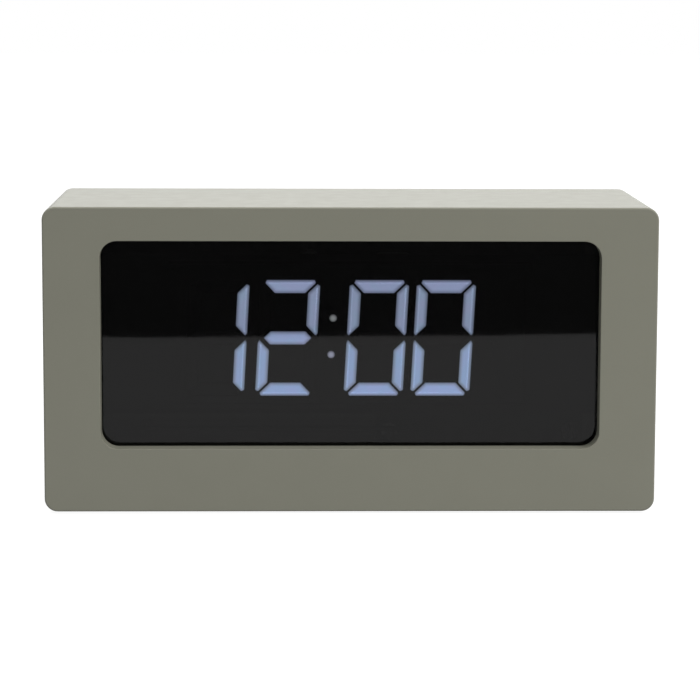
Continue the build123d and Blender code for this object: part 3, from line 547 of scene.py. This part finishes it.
def build_display():
    for name, (digit_x, lit) in digit_places.items():
        bm = bmesh.new()
        glow = bm.verts.layers.float.new("glow")
        level_bar = bm.verts.layers.float.new("level_bar")
        for letter in lit:
            corners = bar_outline(letter, digit_x)
            rings = [
                (softened_corners(drawn_in(corners, inward), rounding), depth, value)
                for inward, depth, rounding, value in filler_rings
            ]
            for vert in add_filler(bm, glow, rings):
                vert[level_bar] = 1.0 if letter in "adg" else 0.0
        piece = smooth_piece(f"{name}_bars", bm, "case", lit_diffuser)
        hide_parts(f"{name}_segments")
    bm = bmesh.new()
    glow = bm.verts.layers.float.new("glow")
    colon_x = (digit_places["hour_units"][0] + digit_places["minute_tens"][0]) / 2
    for rise in (dot_lift - dot_spacing / 2, dot_lift + dot_spacing / 2):
        middle = Vector((colon_x + rise * digit_slant, display_z + rise))
        turns = [math.tau * step / dot_sides for step in range(dot_sides)]
        spokes = [Vector((math.cos(turn), math.sin(turn))) * (dot_diameter / 2) for turn in turns]
        rings = [
            ([middle + spoke * share for spoke in spokes], depth, value)
            for share, depth, value in dot_rings
        ]
        add_filler(bm, glow, rings)
    piece = smooth_piece("colon_lights", bm, "case", dot_diffuser)
    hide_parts("colon_dots")


build_display()


# ---- Back of the clock: softened mouldings, turned caps, screws and feet
def lathe(bm, profile, middle, direction="Y", steps=40):
    """Turns a profile of (radius, place along the axis) round an axis through a point."""
    rings = []
    for radius, along in profile:
        ring = []
        for step in range(steps if radius else 1):
            turn = math.tau * step / steps
            a, b = radius * math.cos(turn), radius * math.sin(turn)
            spot = {"X": (along, a, b), "Y": (a, along, b), "Z": (a, b, along)}[direction]
            ring.append(bm.verts.new(Vector(spot) + Vector(middle)))
        rings.append(ring)
    for first, second in zip(rings, rings[1:]):
        if len(first) == 1 or len(second) == 1:
            tip, ring = (first[0], second) if len(first) == 1 else (second[0], first)
            for i in range(steps):
                bm.faces.new((tip, ring[i], ring[(i + 1) % steps]))
        else:
            bridge(bm, first, second)
    return rings


def rounded_profile(radius, start, end, rounding):
    """A disc's profile: along its side, and round the edge to its far face."""
    side = math.copysign(1, end - start)
    profile = [(radius, start)]
    for inset, drop in reversed(list(fillet_steps(rounding, 5))):
        profile.append((radius - inset, end - side * drop))
    return profile


def softened(node_name, name, width, body, material):
    """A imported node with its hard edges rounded, which stands for it."""
    merge_distance, flat_angle, hard_angle = 0.001, math.radians(1.0), math.radians(30)
    bm = bmesh.new()
    bm.from_mesh(nodes[node_name].data)
    bmesh.ops.scale(bm, vec=(1 / MM, 1 / MM, 1 / MM), verts=bm.verts)
    bmesh.ops.remove_doubles(bm, verts=bm.verts, dist=merge_distance)
    bmesh.ops.dissolve_limit(bm, angle_limit=flat_angle, verts=bm.verts, edges=bm.edges)
    hard = [e for e in bm.edges if len(e.link_faces) == 2 and e.calc_face_angle() > hard_angle]
    bmesh.ops.bevel(
        bm, geom=hard, offset=width, segments=2, profile=0.5, affect="EDGES", clamp_overlap=True
    )
    piece = smooth_piece(name, bm, body, material, sharp=50)
    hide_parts(node_name)


def add_block(bm, low, high, rounding, steps=2):
    """A block between two corners with its edges rounded."""
    made = bmesh.ops.create_cube(bm, size=1.0)
    low, high = Vector(low), Vector(high)
    bmesh.ops.scale(bm, vec=high - low, verts=made["verts"])
    bmesh.ops.translate(bm, vec=(low + high) / 2, verts=made["verts"])
    edges = list({edge for vert in made["verts"] for edge in vert.link_edges})
    bmesh.ops.bevel(bm, geom=edges, offset=rounding, segments=steps, profile=0.5, affect="EDGES")


def add_sign(bm, outline, middle, base, top, rounding):
    """A raised sign on a cap: an outline round a middle, walls from base up and a top with soft edges."""
    rings = []
    edge = rounding * 0.3  # about where an arc from the walls to the top is halfway
    for inward, y in ((0, base), (0, top - rounding), (edge, top - edge), (rounding, top)):
        points = drawn_in([Vector(point) for point in outline], inward)
        rings.append([bm.verts.new((middle[0] + p.x, y, middle[1] + p.y)) for p in points])
    for first, second in zip(rings, rings[1:]):
        bridge(bm, first, second)
    bm.faces.new(rings[-1])


button_row_drop = 14.0
button_row_z = foot_drop + case_height - button_row_drop
button_xs = {"time": -42.0, "alarm": -28.0, "plus": -14.0, "minus": 0.0, "dimmer": 14.0}
flange_front, flange_rear, flange_side, flange_rounding = 24.95, 25.95, 9.4, 0.15
cap_top, cap_radius, cap_rounding, cap_dish = 29.5, 4.0, 0.55, 0.22
cap_face = [
    (3.2, cap_top - 0.01),
    (2.7, cap_top - cap_dish * 0.55),
    (1.8, cap_top - cap_dish * 0.9),
    (0, cap_top - cap_dish),
]
sign_arm, sign_half_stroke, sign_rise, sign_sunk, sign_rounding = 1.15, 0.28, 0.16, 0.1, 0.08


def sign_outlines():
    """The minus and plus signs, each as one outline round its middle."""
    arm, half = sign_arm, sign_half_stroke
    return {
        "minus": [(-arm, -half), (arm, -half), (arm, half), (-arm, half)],
        "plus": [
            (-arm, -half), (-half, -half), (-half, -arm), (half, -arm),
            (half, -half), (arm, -half), (arm, half), (half, half),
            (half, arm), (-half, arm), (-half, half), (-arm, half),
        ],
    }


def build_caps():
    signs = sign_outlines()
    side = rounded_profile(cap_radius, flange_rear, cap_top, cap_rounding)
    profile = [(0, flange_rear)] + side + cap_face
    half = flange_side / 2
    dished = cap_top - cap_dish
    for name, x in button_xs.items():
        bm = bmesh.new()
        lathe(bm, profile, (x, 0, button_row_z))
        flange_low = (x - half, flange_front, button_row_z - half)
        flange_high = (x + half, flange_rear, button_row_z + half)
        add_block(bm, flange_low, flange_high, flange_rounding)
        if name in signs:
            middle = (x, button_row_z)
            add_sign(bm, signs[name], middle, dished - sign_sunk, dished + sign_rise, sign_rounding)
        piece = smooth_piece(f"{name}_cap", bm, f"{name}_button", button_plastic)
        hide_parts(f"{name}_button")


build_caps()
softened("rear_cover", "rear_cover_moulding", 0.2, "case", case_plastic)
softened("battery_door", "battery_door_moulding", 0.2, "battery_door", case_plastic)
softened("alarm_switch_knob", "slide_knob", 0.1, "alarm_switch", button_plastic)

screw_recess, screw_inset = 1.5, 3.8
screw_seat_y = cover_rear - screw_recess
screw_x, screw_z = cavity_width / 2 - screw_inset, cavity_height / 2 - screw_inset
screw_length, core_radius, tip_radius, tip_height, taper_height = 10.0, 1.1, 0.66, 0.4, 1.4
head_radius, head_height, head_rounding = 2.5, 1.4, 0.9
shoulder_drop, crown_radius, crown_drop = 0.15, 0.8, 0.02
cross_reach, cross_half, cross_depth, cross_taper = 1.45, 0.42, 0.85, 0.55


def helper_object(name, bm):
    """A plain object that only serves to make another."""
    bmesh.ops.recalc_face_normals(bm, faces=bm.faces)
    mesh = bpy.data.meshes.new(name)
    bm.to_mesh(mesh)
    bm.free()
    thing = bpy.data.objects.new(name, mesh)
    collection.objects.link(thing)
    return thing


def screw_head():
    """A turned screw at the origin."""
    bm = bmesh.new()
    tip, top = screw_seat_y - screw_length, screw_seat_y + head_height
    shaft = [
        (0, tip),
        (tip_radius, tip + tip_height),
        (core_radius, tip + taper_height),
        (core_radius, screw_seat_y),
    ]
    head = rounded_profile(head_radius, screw_seat_y, top - shoulder_drop, head_rounding)
    lathe(bm, shaft + head + [(crown_radius, top - crown_drop), (0, top)], (0, 0, 0))
    return helper_object("head", bm)


def screw_cross():
    """The cutter of the cross: two blades whose reach narrows towards the bottom."""
    bm = bmesh.new()
    above = 0.5
    for half_x, half_z in ((cross_reach, cross_half), (cross_half, cross_reach)):
        for vert in bmesh.ops.create_cube(bm, size=1.0)["verts"]:
            deep = vert.co.y < 0
            reach = cross_reach * (cross_taper if deep else 1.0)
            vert.co.x *= 2 * (reach if half_x == cross_reach else half_x)
            vert.co.z *= 2 * (reach if half_z == cross_reach else half_z)
            vert.co.y = screw_seat_y + head_height + (-cross_depth if deep else above)
    return helper_object("cross", bm)


def build_screws():
    """Four screws with a cross in each head. The vertices of a pit are marked, so that the finish paints
    shade into the pits.
    """
    head, cutter = screw_head(), screw_cross()
    cut = head.modifiers.new("cross", "BOOLEAN")
    cut.operation, cut.solver, cut.object, cut.use_self = "DIFFERENCE", "EXACT", cutter, True
    bpy.context.view_layer.update()
    finished = bpy.data.meshes.new_from_object(head.evaluated_get(bpy.context.evaluated_depsgraph_get()))
    for thing in (head, cutter):
        bpy.data.objects.remove(thing)
    pit_radius, pit_top = cross_reach + 0.1, screw_seat_y + head_height - 0.5
    first_turn, turn_step = 0.5, 0.7
    bm = bmesh.new()
    pit_shade = bm.verts.layers.float.new("pit_shade")
    for i, (sx, sz) in enumerate(four_corners):
        before = len(bm.verts)
        bm.from_mesh(finished)
        bm.verts.ensure_lookup_table()
        new = bm.verts[before:]
        for vert in new:
            # Vertices down in the cross get the mask that paints shade on them.
            near_axis = math.hypot(vert.co.x, vert.co.z) < pit_radius
            vert[pit_shade] = 1.0 if near_axis and screw_seat_y < vert.co.y < pit_top else 0.0
        turn = Matrix.Rotation(first_turn + turn_step * i, 3, "Y")
        bmesh.ops.rotate(bm, verts=new, cent=(0, 0, 0), matrix=turn)
        bmesh.ops.translate(bm, verts=new, vec=(sx * screw_x, 0, case_middle + sz * screw_z))
    piece = smooth_piece("cover_screws", bm, "case", screw_steel)
    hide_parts("rear_cover_screws")


build_screws()

foot_x, foot_y, foot_radius, foot_rounding = 61.0, 19.0, 4.5, 0.3
foot_dish = [(3.6, 0.0), (3.4, 0.12), (0, 0.14)]


def build_feet():
    bm = bmesh.new()
    profile = [(0, foot_drop)] + rounded_profile(foot_radius, foot_drop, 0.0, foot_rounding) + foot_dish
    for sx in (-1, 1):
        for sy in (-1, 1):
            lathe(bm, profile, (sx * foot_x, sy * foot_y, 0), "Z")
    piece = smooth_piece("foot_pads", bm, "case", foot_rubber)
    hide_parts("rubber_feet")


build_feet()


# ---- Battery cells
def cell_finish():
    """Battery jacket: dark printed film, and pale metal where the mesh says that the cell is bare."""
    f = Finish("cell_jacket", 0.28, Coat_Weight=0.4)
    band = f.attribute("band")
    wear = f.noise(2.5)
    film = f.mix(f.spread(wear, 0, 1), (0.025, 0.03, 0.035), (0.034, 0.039, 0.044))
    f.drive("Base Color", f.mix(band, film, (0.5, 0.47, 0.4)))
    f.drive("Roughness", f.spread(wear, 0.22, 0.34))
    f.drive("Metallic", f.span(band, 0, 1, 0.0, 0.9))
    f.bump(f.noise(1.2, shift=2.0), 0.003)
    return f.material


cell_jacket = cell_finish()
nub_length, nub_radius, bare_length, cell_sides = 0.8, 1.9, 12.0, 48


def cell_profile(radius, tail, tip):
    """(radius, place along X, 1 where the cell is bare) from the flat end to the nub."""
    ahead = math.copysign(1, tip - tail)
    shoulder = tip - ahead * nub_length
    from_tail = [
        (0, 0.25, 1),
        (2.6, 0.25, 1),
        (2.9, 0, 1),
        (radius - 0.7, 0, 1),
        (radius - 0.25, 0.1, 1),
        (radius - 0.02, 0.5, 0),
        (radius, 0.8, 0),
    ]
    before_shoulder = [
        (radius, bare_length, 0),
        (radius, bare_length - 0.02, 1),
        (radius, 0.6, 1),
        (radius - 0.15, 0.15, 1),
        (radius - 0.5, 0, 1),
        (nub_radius + 0.9, 0.15, 1),
        (nub_radius, 0.15, 1),
    ]
    before_tip = [(nub_radius, 0.2, 1), (nub_radius - 0.2, 0, 1), (0, 0, 1)]
    return (
        [(r, tail + ahead * along, bare) for r, along, bare in from_tail]
        + [(r, shoulder - ahead * along, bare) for r, along, bare in before_shoulder]
        + [(r, tip - ahead * along, bare) for r, along, bare in before_tip]
    )


def build_cells():
    """Three cells side by side, the middle one turned round."""
    for place, turned in (("lower", False), ("middle", True), ("upper", False)):
        low, high = node_box(f"battery_cell_{place}")
        tail, tip = (high.x, low.x) if turned else (low.x, high.x)
        profile = cell_profile((high.z - low.z) / 2, tail, tip)
        bm = bmesh.new()
        band = bm.verts.layers.float.new("band")
        middle = (0, (low.y + high.y) / 2, (low.z + high.z) / 2)
        rings = lathe(bm, [(r, x) for r, x, _ in profile], middle, "X", cell_sides)
        for ring, (_, _, bare) in zip(rings, profile):
            for vert in ring:
                vert[band] = bare
        piece = smooth_piece(f"cell_{place}", bm, "case", cell_jacket, sharp=45)
        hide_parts(f"battery_cell_{place}")


build_cells()


# ---- Inlet: gold contact pads on both faces of its tongue
gold_pads = brushed("gold_pads", (0.75, 0.55, 0.22), 0.3, "Y")
pad_count, pad_pitch, pad_width, pad_thickness, pad_rounding = 12, 0.5, 0.26, 0.04, 0.012
pad_start, pad_end, tongue_half = 3.6, 0.5, 0.35


def build_inlet_pads():
    low, high = node_box("usb_insert")
    middle_x, middle_z = (low.x + high.x) / 2, (low.z + high.z) / 2
    bm = bmesh.new()
    for side in (-1, 1):
        face = middle_z + side * tongue_half
        bottom, top = sorted((face, face + side * pad_thickness))
        for i in range(pad_count):
            x = middle_x + (i - (pad_count - 1) / 2) * pad_pitch
            pad_low = (x - pad_width / 2, high.y - pad_start, bottom)
            pad_high = (x + pad_width / 2, high.y - pad_end, top)
            add_block(bm, pad_low, pad_high, pad_rounding, 1)
    smooth_piece("inlet_pads", bm, "case", gold_pads)


build_inlet_pads()


# ---- Foam frame behind the pane: a hair clear of it, so that the pane mirrors evenly across it
def build_gasket():
    low, high = node_box("light_gasket")
    middle = ((low.x + high.x) / 2, (low.z + high.z) / 2)
    width, height = high.x - low.x, high.z - low.z
    clearance, foam_width, corner = 0.04, 2.0, 0.2
    front, back = low.y + clearance, high.y
    bm = bmesh.new()
    loops = [
        rounded_loop(bm, width - 2 * inset, height - 2 * inset, corner, middle, y, arc_steps=3)
        for inset, y in ((0, front), (0, back), (foam_width, back), (foam_width, front))
    ]
    for first, second in zip(loops, loops[1:] + loops[:1]):
        bridge(bm, first, second)
    piece = smooth_piece("light_gasket_foam", bm, "case", black_foam)
    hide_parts("light_gasket")


build_gasket()


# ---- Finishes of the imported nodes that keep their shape
finishes = {
    "display_lens": smoked_pane,
    "lens_adhesive": black_tape,
    "digit_reflector": black_block,
    "unlit_segments": dark_diffuser,
    "display_board": board_black,
    "control_board": board_green,
    "led_chips": led_package,
    "display_board_screws": plated_steel,
    "control_board_screws": plated_steel,
    "display_connector": connector_plastic,
    "control_connector": connector_plastic,
    "ribbon_cable": ribbon,
    "controller_chip": chip_resin,
    "clock_crystal": can_metal,
    "supply_capacitor": can_metal,
    "alarm_buzzer": chip_resin,
    "usb_socket": plated_steel,
    "usb_insert": tongue_plastic,
    "switch_bodies": chip_resin,
    "slide_switch_body": can_metal,
    "battery_contacts": plated_steel,
    "battery_springs": plated_steel,
    "battery_lead_positive": red_lead,
    "battery_lead_negative": black_lead,
}
for button in button_xs:
    finishes[f"{button}_switch_plunger"] = tongue_plastic
for node_name, finish in finishes.items():
    mesh = nodes[node_name].data
    mesh.materials.clear()
    mesh.materials.append(finish)


# ---- Stage: a white floor and surroundings, a dark card, soft lamps and the camera
def seen_directly(tree):
    """A value that is 1 for rays that draw the picture, straight on, in a reflection or through glass."""
    path = tree.nodes.new("ShaderNodeLightPath")
    value = path.outputs["Is Camera Ray"]
    for kind in ("Is Glossy Ray", "Is Transmission Ray"):
        either = tree.nodes.new("ShaderNodeMath")
        either.operation = "MAXIMUM"
        tree.links.new(value, either.inputs[0])
        tree.links.new(path.outputs[kind], either.inputs[1])
        value = either.outputs["Value"]
    return value


def stage_mesh(name, points, faces, material):
    """A plain mesh that belongs to the stage."""
    mesh = bpy.data.meshes.new(name)
    mesh.from_pydata(points, [], faces)
    mesh.materials.append(material)
    thing = bpy.data.objects.new(name, mesh)
    collection.objects.link(thing)
    return thing


def matt(name, tone, roughness):
    """A matt grey material for the stage."""
    material = bpy.data.materials.new(name)
    material.use_nodes = True
    shader = material.node_tree.nodes["Principled BSDF"]
    shader.inputs["Base Color"].default_value = (tone, tone, tone, 1)
    shader.inputs["Roughness"].default_value = roughness
    shader.inputs["Specular IOR Level"].default_value = 0.0
    return material


def floor_finish():
    """A floor that looks white and keeps the clock's shadow, but throws only a little light back."""
    floor_tone, shown_level = 0.2, 0.93
    material = matt("floor_white", floor_tone, 0.9)
    tree = material.node_tree
    light = tree.nodes.new("ShaderNodeEmission")
    light.inputs["Color"].default_value = (1, 1, 1, 1)
    shown = tree.nodes.new("ShaderNodeMath")
    shown.operation = "MULTIPLY"
    shown.inputs[1].default_value = shown_level
    tree.links.new(seen_directly(tree), shown.inputs[0])
    tree.links.new(shown.outputs["Value"], light.inputs["Strength"])
    both = tree.nodes.new("ShaderNodeAddShader")
    tree.links.new(tree.nodes["Principled BSDF"].outputs["BSDF"], both.inputs[0])
    tree.links.new(light.outputs["Emission"], both.inputs[1])
    tree.links.new(both.outputs["Shader"], tree.nodes["Material Output"].inputs["Surface"])
    return material


# The table's edge in front of the clock, as (X, Y): its reflection is the line across the pane
table_edge_m = [
    (-3.0, -0.36),
    (-1.2, -0.36),
    (-0.085, -0.3582),
    (-0.068, -0.3561),
    (-0.052, -0.3572),
    (-0.037, -0.3585),
    (0.063, -0.363),
    (0.0745, -0.3655),
    (0.096, -0.3675),
    (0.2, -0.378),
    (1.2, -0.4),
    (3.0, -0.4),
]
floor_far_m, floor_side_m = 4.0, 3.0


def build_floor():
    far_edge = [(floor_side_m, floor_far_m), (-floor_side_m, floor_far_m)]
    points = [(x, y, 0) for x, y in table_edge_m + far_edge]
    stage_mesh("floor", points, [tuple(range(len(points)))], floor_finish())


def build_card():
    """A dark card on the table's edge, which only reflections see."""
    card_tone, card_top_m = 0.184, 1.4
    foot = table_edge_m[1:-1]
    count = len(foot)
    points = [(x, y, z) for z in (0, card_top_m) for x, y in foot]
    faces = [(i, i + 1, count + i + 1, count + i) for i in range(count - 1)]
    card = stage_mesh("dark_card", points, faces, matt("card_black", card_tone, 1.0))
    card.visible_camera = False
    card.visible_diffuse = False
    card.visible_transmission = False
    card.visible_shadow = False


def set_world():
    """White surroundings that light the clock less than they show."""
    lighting_level, shown_level = 0.42, 1.0
    world = bpy.data.worlds.new("white_surroundings")
    bpy.context.scene.world = world
    world.use_nodes = True
    tree = world.node_tree
    background = tree.nodes["Background"]
    background.inputs["Color"].default_value = (1, 1, 1, 1)
    level = tree.nodes.new("ShaderNodeMapRange")
    level.inputs["To Min"].default_value = lighting_level
    level.inputs["To Max"].default_value = shown_level
    tree.links.new(seen_directly(tree), level.inputs["Value"])
    tree.links.new(level.outputs["Result"], background.inputs["Strength"])


def add_lamp(name, place_m, target_m, size_m, power, sheen=False):
    """A soft lamp of a power in watts; sheen lets it show in glossy surfaces."""
    lamp = bpy.data.lights.new(name, "AREA")
    lamp.shape = "RECTANGLE"
    lamp.size, lamp.size_y = size_m
    lamp.energy = power
    holder = bpy.data.objects.new(name, lamp)
    holder.location = place_m
    holder.rotation_euler = (Vector(target_m) - Vector(place_m)).to_track_quat("-Z", "Y").to_euler()
    holder.visible_glossy = sheen
    holder.visible_camera = False
    collection.objects.link(holder)


def place_camera():
    """The photograph's view: from in front, a little above and to the left, turned by small angles."""
    lens, sensor_width = 142.86, 36.0
    nearest_m, farthest_m = 0.01, 50.0
    place_m = (-0.0159, -0.7018, 0.1314)
    tilt, pan, roll = 0.134, 0.0234, 0.0035
    camera_data = bpy.data.cameras.new("camera")
    camera_data.lens, camera_data.sensor_width = lens, sensor_width
    camera_data.clip_start, camera_data.clip_end = nearest_m, farthest_m
    camera = bpy.data.objects.new("camera", camera_data)
    forward = Vector((math.sin(pan) * math.cos(tilt), math.cos(pan) * math.cos(tilt), -math.sin(tilt)))
    level_right = forward.cross(Vector((0, 0, 1))).normalized()
    level_up = level_right.cross(forward)
    right = math.cos(roll) * level_right + math.sin(roll) * level_up
    up = math.cos(roll) * level_up - math.sin(roll) * level_right
    turn = Matrix((right, up, -forward)).transposed().to_4x4()
    camera.matrix_world = Matrix.Translation(place_m) @ turn
    collection.objects.link(camera)
    bpy.context.scene.camera = camera


build_floor()
build_card()
set_world()
add_lamp("soft_top", (0.0, -0.1, 1.3), (0, 0, 0.03), (1.4, 1.0), 11.5)
add_lamp("soft_front", (0.82, -0.8, 0.78), (0, 0, 0.03), (0.7, 0.7), 13.6)
add_lamp("soft_back", (0.0, 1.3, 0.6), (0, 0, 0.07), (1.0, 0.8), 2.8, sheen=True)
place_camera()
bpy.context.scene.view_settings.view_transform = "Standard"
